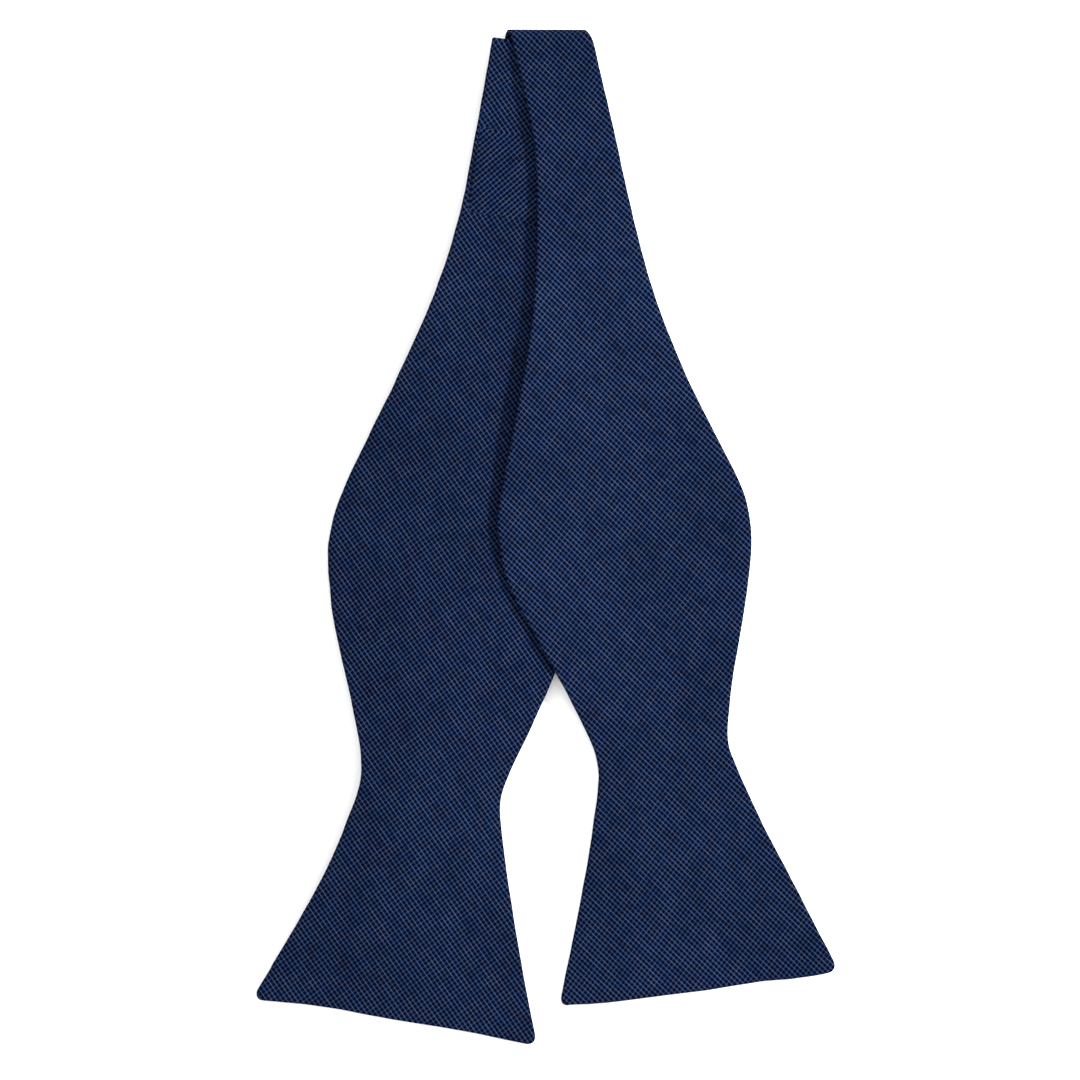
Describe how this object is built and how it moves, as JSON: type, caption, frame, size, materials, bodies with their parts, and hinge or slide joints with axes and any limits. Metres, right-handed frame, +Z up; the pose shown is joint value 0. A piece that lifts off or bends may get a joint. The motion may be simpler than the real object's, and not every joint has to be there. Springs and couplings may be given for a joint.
{
  "type": "bow tie",
  "caption": "Self-tie bow tie in navy cotton with a fine pale check, untied and folded flat with its blades crossed, on an adjustable neckband with hook, eye and slider.",
  "frame": {"origin": "middle of the footprint, on the table plane that the tie lies on", "axes": "+X to the right and +Y towards the top fold as the tie is seen from above, +Z up out of the table"},
  "size_m": [0.1384, 0.243, 0.0074],
  "materials": {
    "navy_check": "matte navy cotton, woven with a fine pale pin check of about 1 mm set on the bias",
    "interlining": "matte unbleached canvas",
    "thread": "tightly packed dark polyester thread",
    "tape": "smooth woven tape",
    "nickel": "nickel-plated steel sheet, polished with rounded edges"
  },
  "bodies": {
    "left_band": {"left_band_front_shell": "navy_check", "left_band_back_shell": "navy_check", "left_band_interlining": "interlining", "left_fold_outer_shell": "navy_check", "left_fold_interlining": "interlining", "left_fold_inner_shell": "navy_check", "eye": "nickel", "eye_bar_tack": "thread"},
    "left_blade": {"left_blade_front_shell": "navy_check", "left_blade_back_shell": "navy_check", "left_blade_interlining": "interlining"},
    "hook": {"hook": "nickel", "strap_return_front_shell": "navy_check", "strap_return_back_shell": "navy_check"},
    "slider": {"slider": "nickel", "strap_end": "navy_check", "slider_bar_tack": "thread"},
    "strap": {"strap_front_shell": "navy_check", "strap_back_shell": "navy_check", "strap_interlining": "interlining", "size_tape": "tape", "right_fold_outer_shell": "navy_check", "right_fold_interlining": "interlining", "right_fold_inner_shell": "navy_check"},
    "right_blade": {"right_blade_front_shell": "navy_check", "right_blade_back_shell": "navy_check", "right_blade_interlining": "interlining"}
  },
  "joints": [
    {"name": "hook_swing", "type": "hinge", "parent": "left_band", "child": "hook", "pos_m": [-0.02839, -0.05909, 0.0015], "axis": [0, 0, 1], "range_deg": [-8, 8]},
    {"name": "slider_slide", "type": "slide", "parent": "hook", "child": "slider", "axis": [-0.1585, -0.9874, 0], "range_m": [0, 0.08], "deforming": ["strap_return_front_shell", "strap_return_back_shell"]},
    {"name": "strap_slide", "type": "slide", "parent": "hook", "child": "strap", "axis": [0.1585, 0.9874, 0], "range_m": [0, 0.08]},
    {"name": "right_fold", "type": "hinge", "parent": "strap", "child": "right_blade", "pos_m": [0.00078, 0.1226, 0.00405], "axis": [-1, 0.0028, 0], "range_deg": [0, 180], "deforming": ["right_fold_outer_shell", "right_fold_interlining", "right_fold_inner_shell"]},
    {"name": "left_fold", "type": "hinge", "parent": "left_band", "child": "left_blade", "pos_m": [-0.00345, 0.11812, 0.00515], "axis": [-0.9903, 0.1392, 0], "range_deg": [0, 180], "deforming": ["left_fold_outer_shell", "left_fold_interlining", "left_fold_inner_shell"]}
  ],
  "couplings": [
    {"joint": "strap_slide", "follows": "slider_slide", "ratio": 1},
    {"joint": "left_fold", "follows": "right_fold", "ratio": 1}
  ]
}
